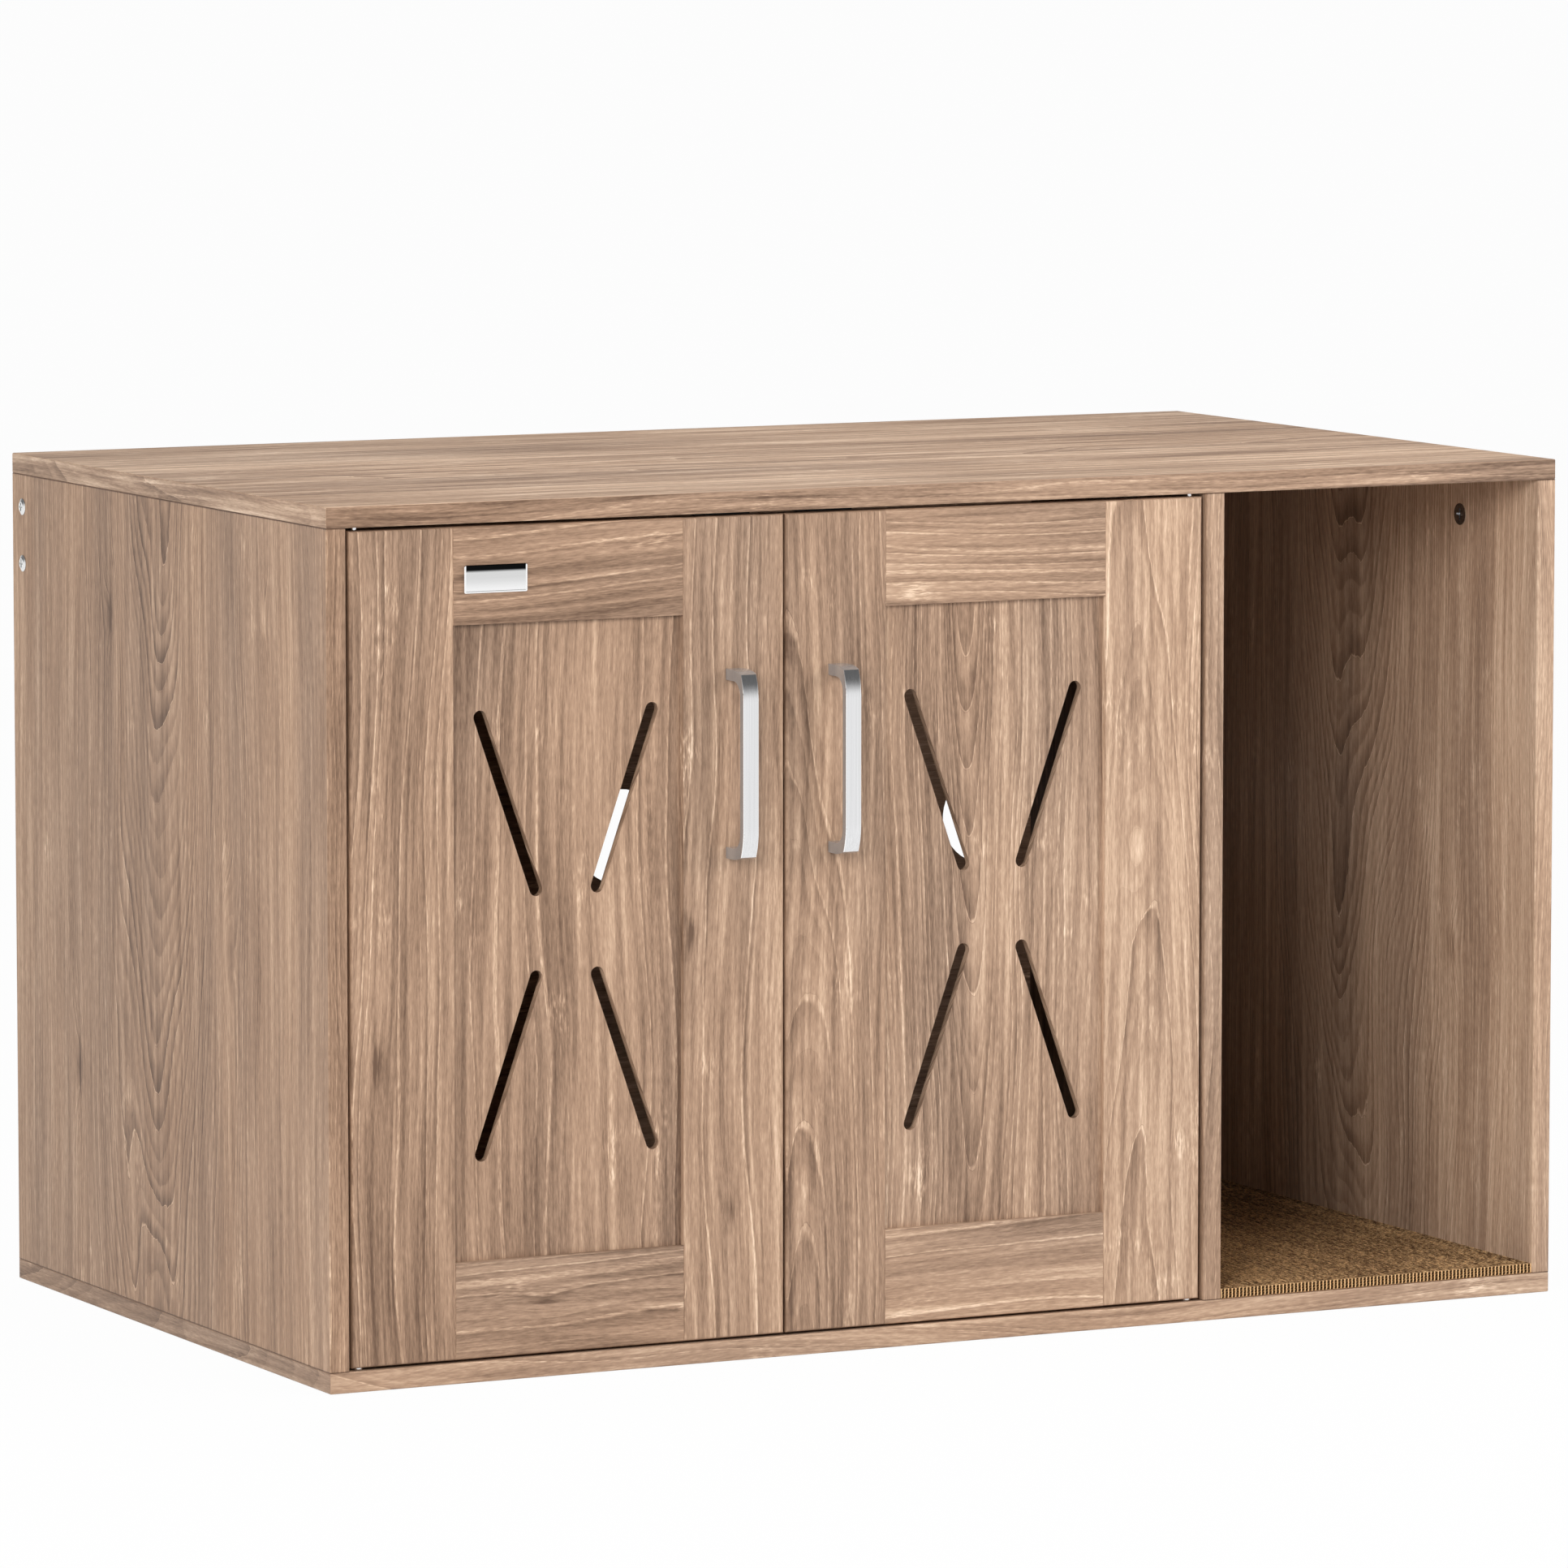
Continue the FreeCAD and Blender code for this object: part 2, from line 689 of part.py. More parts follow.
def catch_housings():
    """A housing with an ear each side, and a pocket for its magnet."""
    found = []
    z_low = z_ceiling - catch_height
    for door in doors:
        half = catch_body / 2
        y = (y_catch, y_catch + catch_depth)
        body = block((door.x_catch - half, door.x_catch + half), y, (z_low, z_ceiling))
        reach = half + catch_ear
        ears = block(
            (door.x_catch - reach, door.x_catch + reach),
            (y_catch + 2, y_catch + catch_depth - 2),
            (z_ceiling - catch_ear_thick, z_ceiling),
        )
        body = eased(body, edge_ease, edges_at(body, "x", z=z_low))
        housing = body.fuse(ears).cut(magnet_block(door, fit_gap)).removeSplitter()
        found.append(housing.cut(catch_screws(fit_gap)))
    return found


def magnet_block(door, extra=0.0):
    """A catch's magnet, or with extra its pocket."""
    half = magnet_width / 2 + extra
    rise = magnet_height / 2 + extra
    y = (y_catch, y_catch + magnet_depth + extra)
    return block((door.x_catch - half, door.x_catch + half), y, (z_strike - rise, z_strike + rise))


def catch_screws(extra=0.0):
    """The screws that hold the catches under the top board, or with extra their bores."""
    found = []
    z_head = z_ceiling - catch_ear_thick
    for door in doors:
        for way in (-1, 1):
            x = door.x_catch + way * (catch_body + catch_ear) / 2
            start = V(x, y_catch + catch_depth / 2, z_head)
            shank = catch_screw_diameter + 2 * extra
            end = catch_screw_length + extra
            if extra:
                found.append(turned(start, V(0, 0, 1), [(0, shank), (end, shank)]))
                continue
            outline = [(-catch_head_thick, catch_head_diameter * 0.6)]
            outline += [(-catch_head_thick / 2, catch_head_diameter)]
            outline += [(0, catch_head_diameter), (0, shank), (end, shank)]
            found.append(turned(start, V(0, 0, 1), outline))
    return found


def make_strike_plate(door):
    """The steel plate that the magnet pulls, with one countersunk hole."""
    half = strike_width / 2
    z = (z_strike - strike_height / 2, z_strike + strike_height / 2)
    y = (y_door_rear, y_door_rear + strike_thick)
    plate = block((door.x_catch - half, door.x_catch + half), y, z)
    return plate.cut(make_strike_screw(door, fit_gap))


def make_strike_screw(door, extra=0.0):
    """The countersunk screw of a strike plate, or with extra its bore."""
    start = V(door.x_catch, y_door_rear + strike_thick, z_strike)
    shank = strike_hole_diameter - 0.4 + 2 * extra
    head = shank + 2 * strike_thick
    end = strike_screw_length + extra
    return turned(start, V(0, -1, 0), [(0, head), (strike_thick, shank), (end, shank)])


def make_scratch_pad():
    """The plain corrugated pad that lies in the open bay."""
    x = (x_bay_left + pad_side_gap, x_right - board - pad_side_gap)
    return block(x, (y_front, y_back_face - pad_rear_gap), (z_floor, z_floor + pad_thick))


def build_case():
    save("top_panel", make_top_panel())
    save("bottom_panel", make_bottom_panel())
    save("left_side_panel", make_side_panel("left"))
    save("right_side_panel", make_side_panel("right"))
    save("divider_panel", make_divider())
    save("back_panel", make_back_panel())
    save("back_rail", make_back_rail())
    cams = [place for upright in uprights for place in cam_places(upright)]
    save("cam_locks", [make_cam(*place) for place in cams])
    save("cam_bolts", [make_cam_bolt(*place) for place in cams])
    save("case_dowels", dowels())
    save("base_screws", base_screws())
    save("rail_bolts", [make_rail_bolt(*place) for place in rail_bolt_places()])
    save("rail_barrel_nuts", barrel_nuts())
    save("hinge_bushes", make_hinge_bushes())
    save("catch_housings", catch_housings())
    save("catch_magnets", [magnet_block(door) for door in doors])
    save("catch_screws", catch_screws())


def build_door(door):
    prefix = f"{door.name}_door"
    save(f"{prefix}_outer_stile", make_outer_stile(door))
    save(f"{prefix}_inner_stile", make_inner_stile(door))
    save(f"{prefix}_top_rail", make_door_rail(door, (z_panel[1], z_door_top)))
    save(f"{prefix}_bottom_rail", make_door_rail(door, (z_door_bottom, z_panel[0])))
    save(f"{prefix}_centre_panel", make_centre_panel(door))
    save(f"{prefix}_dowels", frame_dowels(door))
    save(f"{prefix}_hinge_pins", make_hinge_pins(door))
    save(f"{prefix}_handle", make_handle(door))
    save(f"{prefix}_handle_screws", make_handle_screws(door))
    save(f"{prefix}_strike_plate", make_strike_plate(door))
    save(f"{prefix}_strike_screw", make_strike_screw(door))


os.makedirs("parts", exist_ok=True)
build_case()
for one_door in doors:
    build_door(one_door)
save("scratch_pad", make_scratch_pad())
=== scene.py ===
import math

import bpy
import numpy as np
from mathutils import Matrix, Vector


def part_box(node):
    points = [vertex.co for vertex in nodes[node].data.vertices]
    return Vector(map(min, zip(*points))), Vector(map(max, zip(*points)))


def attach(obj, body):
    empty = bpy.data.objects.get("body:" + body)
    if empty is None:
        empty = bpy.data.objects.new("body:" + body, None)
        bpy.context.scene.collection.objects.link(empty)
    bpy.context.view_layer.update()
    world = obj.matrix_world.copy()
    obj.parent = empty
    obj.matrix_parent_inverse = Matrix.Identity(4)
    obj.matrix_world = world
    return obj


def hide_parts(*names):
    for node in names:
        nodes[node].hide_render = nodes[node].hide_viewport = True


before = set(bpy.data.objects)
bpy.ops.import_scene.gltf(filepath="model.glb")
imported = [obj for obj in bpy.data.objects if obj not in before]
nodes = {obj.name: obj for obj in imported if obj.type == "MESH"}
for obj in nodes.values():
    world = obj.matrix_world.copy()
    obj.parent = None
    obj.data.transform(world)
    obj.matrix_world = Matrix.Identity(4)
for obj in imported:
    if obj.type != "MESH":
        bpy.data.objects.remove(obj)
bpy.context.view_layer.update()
MM = 0.001
X, Y, Z = 0, 1, 2
WHITE = (1, 1, 1, 1)


# Shader maths


class Socket:
    """A node's output. Arithmetic on it adds Math nodes, and other nodes come from make()."""

    def __init__(self, tree, out):
        self.tree, self.out = tree, out

    def make(self, kind, out=0, stops=None, inputs=None, **settings):
        node = self.tree.nodes.new(kind)
        for key, value in settings.items():
            setattr(node, key, value)
        if stops:
            ramp = node.color_ramp
            while len(ramp.elements) < len(stops):
                ramp.elements.new(1.0)
            for element, (place, colour) in zip(ramp.elements, stops):
                element.position = place
                element.color = (*colour, 1)
        for key, value in (inputs or {}).items():
            if isinstance(value, Socket):
                self.tree.links.new(value.out, node.inputs[key])
            else:
                node.inputs[key].default_value = value
        return Socket(self.tree, node.outputs[out])

    def math(self, operation, *others):
        inputs = dict(enumerate((self, *others)))
        return self.make("ShaderNodeMath", operation=operation, inputs=inputs)

    def __add__(self, other):
        return self.math("ADD", other)

    def __sub__(self, other):
        return self.math("SUBTRACT", other)

    def __rsub__(self, other):
        return (self * -1) + other

    def __mul__(self, other):
        return self.math("MULTIPLY", other)

    def __truediv__(self, other):
        return self.math("DIVIDE", other)

    def __rtruediv__(self, other):
        return self.make("ShaderNodeMath", operation="DIVIDE", inputs={0: other, 1: self})

    def __pow__(self, power):
        return self.math("POWER", power)

    def __abs__(self):
        return self.math("ABSOLUTE")

    __radd__ = __add__
    __rmul__ = __mul__

    def fract(self):
        return self.math("FRACT")

    def floor(self):
        return self.math("FLOOR")

    def exp(self):
        return self.math("EXPONENT")

    def smooth(self, low, high):
        """0 below low, 1 above high, with a soft step between."""
        inputs = {0: self, 1: low, 2: high, 3: 0.0, 4: 1.0}
        return self.make("ShaderNodeMapRange", interpolation_type="SMOOTHSTEP", inputs=inputs)

    def fade(self, a, b):
        """a where this is 0, b where it is 1."""
        return a + (b - a) * self

    def tint(self, a, b, blend="MIX"):
        """Colour a where this is 0, b where it is 1."""
        a = a if isinstance(a, Socket) else (*a, 1)
        b = b if isinstance(b, Socket) else (*b, 1)
        inputs = {0: self, 6: a, 7: b}
        return self.make("ShaderNodeMix", out=2, data_type="RGBA", blend_type=blend, inputs=inputs)

    def parts(self):
        split = self.make("ShaderNodeSeparateXYZ", inputs={0: self})
        return [Socket(self.tree, out) for out in split.out.node.outputs]

    def vector(self, *values):
        return self.make("ShaderNodeCombineXYZ", inputs=dict(enumerate(values)))

    def noise(self, *place, detail=2.0, rough=0.5):
        """Smooth noise of mean 0.5 at a place given by three numbers."""
        inputs = {"Vector": self.vector(*place), "Scale": 1.0, "Detail": detail, "Roughness": rough}
        return self.make("ShaderNodeTexNoise", inputs=inputs)

    def dice(self):
        """A number from 0 to 1 that is different for each whole number."""
        inputs = {"W": self}
        return self.make("ShaderNodeTexWhiteNoise", noise_dimensions="1D", inputs=inputs)


def srgb(*values):
    """A colour written as it looks on a screen, 0 to 255, as linear light."""
    return tuple(
        (v / 255 / 12.92) if v <= 10 else ((v / 255 + 0.055) / 1.055) ** 2.4 for v in values
    )


def start(name):
    """A new material, its shader node, and its Object coordinates and normals."""
    material = bpy.data.materials.new(name)
    material.use_nodes = True
    tree = material.node_tree
    shader = tree.nodes["Principled BSDF"]
    out = tree.nodes.new("ShaderNodeTexCoord").outputs
    return material, shader, Socket(tree, out["Object"]), Socket(tree, out["Normal"])


def finish(shader, colour, rough, bump=None, metal=0.0, depth=0.0002):
    """Joins up the shader's sockets. bump is a height from 0 to 1 that stands depth metres."""
    tree = shader.id_data
    for name, value in (("Base Color", colour), ("Roughness", rough), ("Metallic", metal)):
        if isinstance(value, Socket):
            tree.links.new(value.out, shader.inputs[name])
        else:
            shader.inputs[name].default_value = value
    if bump is not None:
        inputs = {"Height": bump, "Distance": depth, "Strength": 1.0}
        relief = bump.make("ShaderNodeBump", inputs=inputs)
        tree.links.new(relief.out, shader.inputs["Normal"])


# Wood foil. On a flat-sawn board the growth rings are nested bows round its heart line, which
# run out into straight lines to both sides, with long eyes where a hump in the trunk was cut.
# Each ring ends in a thin pale line, and the tone darkens towards it.

FOIL_SHADES = [
    (0.00, srgb(104, 82, 67)),
    (0.25, srgb(141, 116, 97)),
    (0.50, srgb(173, 145, 123)),
    (0.75, srgb(205, 178, 154)),
    (1.00, srgb(236, 213, 190)),
]
FOIL_TINT = srgb(255, 243, 231)
FOIL_SPECULAR = 0.35
FOIL_RELIEF = 0.00010
FACING = (0.6, 0.8)  # how much of a normal lies along an axis: off that face, on that face

BEND = 0.045  # metres that slow noise moves the whole figure across the board
SWELL = 0.030  # metres that a hump of strength 1 moves a ring
TOOTH = 0.0007  # metres of ragged edge on a ring
UNEVEN = 3.2  # ring periods that the rings' spacing wanders by
FADE_WIDTH = 0.10  # metres from the heart line where the rings' marks have half faded
FAR_MARK = 0.45  # what is left of the marks far from the heart line

MID_TONE = 0.49  # place of plain wood in FOIL_SHADES
LATE_TONE = 0.28  # how far a ring darkens towards its end
LINE_TONE = 0.40  # how pale the line at its end is
BROAD_TONE = 0.66  # strength of the broad streaks
THREAD_TONE = 1.1  # strength of the fine streaks
FLECK_TONE = 0.6  # strength of the short flecks
JOINT_SHADOW_TONE = 0.6  # how dark the painted shadow line at a joint is
JOINT_SHADOW_WIDTH = 0.0011  # width of the painted shadow line at a board's ends, where it butts on the next board
EDGE_SHADE_RUN = (-0.45, 0.1)  # places along the grain between which the painted shade on the long edge faces fades from one strength to the other


def foil(name, grain, cross, edge, middle, seed, heart, tip, taper=0.067, depth=0.17,
         reach=0.08, hump=1.0, period=3.0, knots=(), tone_and_painted_light=0.0, rim=(0, 0), swing=1.0,
         mark=1.0, cream=0.6, warm=0.0, ends=None):
    """Printed wood on a board, in metres. grain, cross and edge are the axes along the grain,
    across the face and through the board, and middle is the board's middle along edge.

    The rings are steps of the distance to the trunk's axis, sqrt(away^2 + depth^2), less taper
    times the height over tip. The taper works within reach of the heart line. period is the
    distance between rings in mm. hump is the strength of the slow noise that bends them into
    eyes. A knot is its place across and along the board, its size and how strong it shows.

    swing is the strength of the streaks, mark that of the rings and cream that of the pale
    flames. tone_and_painted_light raises or lowers the board's tone, partly as the print's own
    tone and partly as painted light, brighter towards the right of the case; warm tints it.
    rim adds painted shade to the long edge faces, with one number for each end of
    EDGE_SHADE_RUN. ends are the two places along the grain where a painted shadow line of the
    joint shows.
    """
    material, shader, place, normal = start(name)
    o, n = place.parts(), normal.parts()
    end = abs(n[grain]).smooth(*FACING)
    u = end.fade(o[cross] + o[edge], o[edge] + (heart - middle))
    v = end.fade(o[grain], o[cross])
    bend = place.noise(u * 5, v * 1.6, seed, detail=1) - 0.5
    u = u + bend * BEND
    swell = place.noise(u * 13, v * 3.2, seed + 2, detail=1) - 0.5
    tooth = place.noise(u * 150, v * 70, seed + 3, detail=2) - 0.5

    away = u - heart
    radius = (away * away + depth**2) ** 0.5
    near = 1 / (abs(away / reach) ** 3 + 1)
    figure = radius - (v - tip) * taper * near + swell * (SWELL * hump) + tooth * TOOTH
    spot = None
    for knot_u, knot_v, size, dark in knots:
        far = ((u - knot_u) / size) ** 2 + ((v - knot_v) / (size * 3)) ** 2
        figure = figure + (far * -0.5).exp() * (size * 0.8)
        core = (far * -3).exp() * dark
        spot = core if spot is None else spot + core

    rings = figure / (period * MM) + place.noise(figure * 75, seed, 0.0, detail=2) * UNEVEN
    turn = rings.fract()
    bold = (rings.floor() + seed).dice()
    shown = (1 / ((away / FADE_WIDTH) ** 2 + 1)).fade(FAR_MARK, 1.0) * mark
    steep = abs(away / radius) + 0.16
    line = turn.smooth(1.0 - steep * 0.34, 1.0 - steep * 0.14)
    line = line * (1 - turn.smooth(0.98, 1.0)) * bold.smooth(0.1, 0.8)
    late = turn.smooth(0.15, 0.92) * (bold * 0.8 + 0.2)

    threads = place.noise(u * 170, v * 5, seed + 5, detail=5, rough=0.66) - 0.5
    flecks = place.noise(u * 1000, v * 110, seed + 6, detail=2, rough=0.6) - 0.5
    broad = place.noise(u * 17, v * 1.2, seed + 9, detail=2) - 0.5
    flame = place.noise(u * 30, v * 10, seed + 11, detail=4, rough=0.68).smooth(0.57, 0.75)

    # painted light: part of each board's brightening stands for light that falls brighter towards
    # the right of the case; the rest is the print's own tone
    tone = MID_TONE + tone_and_painted_light - late * shown * LATE_TONE
    tone = tone + line * (flecks * 0.5 + shown * LINE_TONE)
    tone = tone + broad * (BROAD_TONE * swing)
    tone = tone + threads * (THREAD_TONE * swing)
    tone = tone + flecks * FLECK_TONE
    tone = tone + flame * (threads + flecks + 0.5).smooth(0.35, 0.75) * cream
    if spot is not None:
        tone = tone + spot * (threads * 2.5 - 0.4)
    # painted shade: the long edge faces are darkened, more at one end of the board than the other
    if any(rim):
        tone = tone + abs(n[cross]).smooth(*FACING) * v.smooth(*EDGE_SHADE_RUN).fade(*rim)
    # painted shadow: a thin dark line along the joint at each end of the board, where it butts on
    # the next
    if ends:
        joint_shadow = (1 - (v - ends[0]).smooth(0.0, JOINT_SHADOW_WIDTH)) + (v - ends[1]).smooth(-JOINT_SHADOW_WIDTH, 0.0)
        tone = tone - joint_shadow * JOINT_SHADOW_TONE

    colour = tone.make("ShaderNodeValToRGB", stops=FOIL_SHADES, inputs={0: tone})
    hue = (bend + broad).smooth(-0.40, 0.25)
    colour = Socket.tint(hue * 0.5 + warm, colour, FOIL_TINT, blend="MULTIPLY")
    shader.inputs["Specular IOR Level"].default_value = FOIL_SPECULAR
    finish(shader, colour, 0.50 - threads * 0.25, tone * 0.6 + flecks * 0.4, depth=FOIL_RELIEF)
    return material


# The axes along the grain, across the face and through the board
LEVEL = dict(grain=X, cross=Y, edge=Z)
SIDEWALL = dict(grain=Z, cross=Y, edge=X)
STILE = dict(grain=Z, cross=X, edge=Y)
RAIL = dict(grain=X, cross=Z, edge=Y)

# Each board's brightening is partly its own tone and partly painted light; its rim numbers are
# painted shade on the long edge faces.
BOARDS = {
    "top_panel": dict(
        LEVEL, seed=1.0, heart=0.58, tip=0.4, taper=0.05, reach=0.05, tone_and_painted_light=0.11,
        rim=(-0.46, -0.16), swing=1.7),
    "bottom_panel": dict(LEVEL, seed=2.0, heart=-0.20, tip=-0.5, tone_and_painted_light=0.03),
    "left_side_panel": dict(
        SIDEWALL, seed=23.0, heart=-0.482, tip=0.16, depth=0.22, reach=0.10, hump=0.8,
        period=2.1, tone_and_painted_light=0.03, rim=(-0.14, -0.14), mark=1.6, cream=0.4, warm=0.34,
        knots=((-0.340, 0.178, 0.010, 1), (-0.398, 0.52, 0.007, 0.8),
               (-0.600, 0.30, 0.016, 0), (-0.680, 0.54, 0.008, -0.5))),
    "right_side_panel": dict(
        SIDEWALL, seed=35.0, heart=0.47, tip=0.16, depth=0.22, reach=0.10, hump=0.8,
        period=2.1, tone_and_painted_light=0.15, rim=(-0.12, -0.12), mark=1.5, cream=0.4,
        knots=((0.32, 0.25, 0.008, 1),)),
    "divider_panel": dict(SIDEWALL, seed=5.0, heart=0.10, tip=0.2),
    "back_rail": dict(RAIL, seed=6.0, heart=0.8, tip=0.2),
    "left_door_outer_stile": dict(
        STILE, seed=47.0, heart=-1.0, tip=0.2, period=5.0, tone_and_painted_light=-0.20, swing=1.3, mark=2.0,
        knots=((-0.741, 0.232, 0.008, 1),)),
    "left_door_inner_stile": dict(
        STILE, seed=68.0, heart=-0.30, tip=0.5, hump=1.3, period=7.0, tone_and_painted_light=-0.03, swing=1.3,
        mark=2.0, knots=((-0.500, 0.31, 0.006, 0.8), (-0.466, 0.11, 0.006, 0.8))),
    "left_door_top_rail": dict(
        RAIL, seed=69.0, heart=-0.02, tip=-0.5, period=6.0, tone_and_painted_light=-0.19, swing=1.1, mark=2.0,
        knots=((0.293, -0.39, 0.006, 0.6),)),
    "left_door_bottom_rail": dict(
        RAIL, seed=30.0, heart=-0.50, tip=-0.3, period=6.0, tone_and_painted_light=-0.15, swing=1.1, mark=2.0,
        knots=((-0.240, -0.33, 0.007, 0.7),)),
    "left_door_centre_panel": dict(
        STILE, seed=71.0, heart=-0.20, tip=0.3, hump=1.3, period=8.0, tone_and_painted_light=-0.13, swing=1.1,
        mark=2.0),
    "right_door_outer_stile": dict(
        STILE, seed=52.0, heart=-0.135, tip=0.2, taper=-0.05, depth=0.03, reach=0.03,
        tone_and_painted_light=0.08, swing=1.3, knots=((-0.135, 0.353, 0.009, -0.6),)),
    "right_door_inner_stile": dict(
        STILE, seed=33.0, heart=-0.417, tip=0.05, taper=-0.06, depth=0.02, reach=0.03,
        tone_and_painted_light=-0.12, swing=1.3),
    "right_door_top_rail": dict(
        RAIL, seed=14.0, heart=0.60, tip=0.1, period=6.0, swing=1.1, mark=2.0),
    "right_door_bottom_rail": dict(
        RAIL, seed=15.0, heart=-0.50, tip=0.1, period=6.0, swing=1.1, mark=2.0),
    "right_door_centre_panel": dict(
        STILE, seed=76.0, heart=-0.271, tip=0.10, taper=0.09, depth=0.02, reach=0.02,
        period=4.6, tone_and_painted_light=-0.06, swing=1.3),
    "back_panel": dict(RAIL, seed=17.0, heart=0.1, tip=0.0, tone_and_painted_light=-0.12),
}
# Boards that get a painted shadow line at the joints at their ends
JOINT_SHADOWED = ("left_side_panel", "right_side_panel", "divider_panel")


# Other materials


def beech():
    """Bare beech: pale, with short dark pores along the dowel."""
    material, shader, place, _ = start("dowel_beech")
    x, y, z = place.parts()
    pores = place.noise(x * 900, y * 900, z * 120, detail=3) - 0.5
    colour = pores.smooth(-0.2, 0.2).tint(srgb(190, 152, 108), srgb(224, 192, 150))
    finish(shader, colour, 0.6 - pores * 0.2, pores + 0.5)
    return material


POLISH = 0.00001  # relief of polished or plated metal, in metres


def metal(name, shade, rough, variation, spots=60):
    """Plated metal, with fine grain and with spots that are darker by variation."""
    material, shader, place, _ = start(name)
    parts = place.parts()
    lines = place.noise(*[p * 1500 for p in parts], detail=2) - 0.5
    cloud = place.noise(*[p * spots for p in parts], detail=2) - 0.5
    dull = tuple(c * (1 - variation * 2) for c in shade)
    colour = (lines + cloud * 0.6).smooth(-0.25, 0.25).tint(dull, shade)
    rough = lines * 0.12 + cloud * 0.10 + rough
    finish(shader, colour, rough, lines + 0.5, metal=1.0, depth=POLISH)
    return material


def handle_metal(name):
    """Satin chrome, streaked along the bar, with a painted highlight along the edges of its front,
    and a painted reflection on its flanks: a duller grey with less metal.
    """
    material, shader, place, normal = start(name)
    x, y, z = place.parts()
    nx, _, nz = normal.parts()
    sideways = abs(nx)
    # painted reflection: the flanks get a duller grey and less metal, so that they look silvery
    # instead of mirroring the wood
    flank_painted_reflection = sideways.math("MAXIMUM", abs(nz)).smooth(0.85, 0.97)
    lines = place.noise(x * 1100, y * 1100, z * 9, detail=3, rough=0.6) - 0.5
    flat = flank_painted_reflection.fade(0.80 + lines * 0.20, 0.46 + lines * 0.1)
    # painted highlight: the rounded edges of the front are made full white
    painted_edge_highlight = sideways.smooth(0.15, 0.35) * (1 - sideways.smooth(0.85, 0.97))
    value = painted_edge_highlight.fade(flat, lines * 0.02 + 1.0)
    colour = place.vector(value, value, value * 1.01)
    finish(shader, colour, 0.19 + lines * 0.10, lines + 0.5, metal=1 - flank_painted_reflection * 0.4, depth=POLISH)
    return material


def plate_metal(name, low, high):
    """The plate's polished plating. Inside the rim it carries painted reflection: pale towards the
    bottom, darker towards the top, and a near-black strip along the top. low and high are the
    plate's corners in x and z."""
    material, shader, place, _ = start(name)
    x, y, z = place.parts()
    lines = place.noise(x * 12, y * 1500, z * 1500, detail=2) - 0.5
    inside = (x - low[0]).smooth(0.0012, 0.0017) * (high[0] - x).smooth(0.0012, 0.0017)
    # painted reflection: a near-black strip along the top inside the rim, for dark surroundings
    # mirrored there
    painted_dark_strip = (z - high[1]).smooth(-0.0056, -0.0034) * inside
    # painted reflection: inside the rim the plating darkens from the bottom upwards
    shade = (z - low[1]).smooth(0.0, 0.012).fade(0.97 + lines * 0.03, 0.72 + lines * 0.05)
    value = painted_dark_strip.fade(inside.fade(lines * 0.02 + 1.0, shade), lines * 0.002 + 0.006)
    colour = place.vector(value, value, value)
    finish(shader, colour, 0.18 + lines * 0.05, lines + 0.5, metal=1.0, depth=POLISH)
    return material


def moulded(name, shade):
    """Moulded plastic with a fine eroded grain."""
    material, shader, place, _ = start(name)
    parts = place.parts()
    grain = place.noise(*[p * 2600 for p in parts], detail=2)
    cloud = place.noise(*[p * 40 for p in parts], detail=2)
    colour = cloud.tint(shade, tuple(c * 1.6 + 0.004 for c in shade))
    finish(shader, colour, grain * 0.2 + 0.35, grain, depth=0.00003)
    return material


def kraft(name, dark, light, pitch, front, top):
    """Kraft board: brown paper, mottled, each glued layer a little different, and pale where
    it is cut, at the plane y = front and at the plane z = top. Further in, away from these
    cut faces, it is darkened with painted shade."""
    material, shader, place, _ = start(name)
    x, y, z = place.parts()
    layer = (x / pitch).floor().dice()
    mottle = place.noise(x * 620, y * 150, z * 620, detail=3, rough=0.7)
    fuzz = place.noise(x * 2400, y * 2400, z * 2400, detail=2)
    patches = place.noise(x * 9, y * 5, 0.0, detail=3) - 0.5
    facing = 1 - (y - front).smooth(0.0005, 0.0014)
    cut = (z - top).smooth(-0.0012, -0.0004).math("MAXIMUM", facing)
    tone = (mottle - 0.5) * 1.9 + fuzz * 0.30 + layer * 0.14
    tone = tone + patches * 0.30 + 0.20 + facing * 0.65
    colour = tone.smooth(0.05, 0.95).tint(dark, light)
    # painted shade: the paper away from the cut top and front faces, down in the cells, is darkened
    colour = Socket.tint(1 - cut, colour, srgb(96, 74, 56), blend="MULTIPLY")
    finish(shader, colour, 0.82 - fuzz * 0.1, fuzz, depth=0.00015)
    return material


# Pieces worked out with numpy


def new_piece(name, points, faces, material, body):
    """A mesh object at the origin, from arrays of points and of faces."""
    mesh = bpy.data.meshes.new(name)
    mesh.from_pydata(points, [], faces)
    mesh.validate()
    mesh.materials.append(material)
    piece = bpy.data.objects.new(name, mesh)
    bpy.context.collection.objects.link(piece)
    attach(piece, body)
    return piece


def rectangles(left, right, front, rear):
    """Corner loops in x and y for prisms, one for each pair of left and right edges."""
    front, rear = np.full_like(left, front), np.full_like(left, rear)
    corners = [(left, front), (right, front), (right, rear), (left, rear)]
    return np.stack([np.stack(corner, axis=-1) for corner in corners], axis=1)


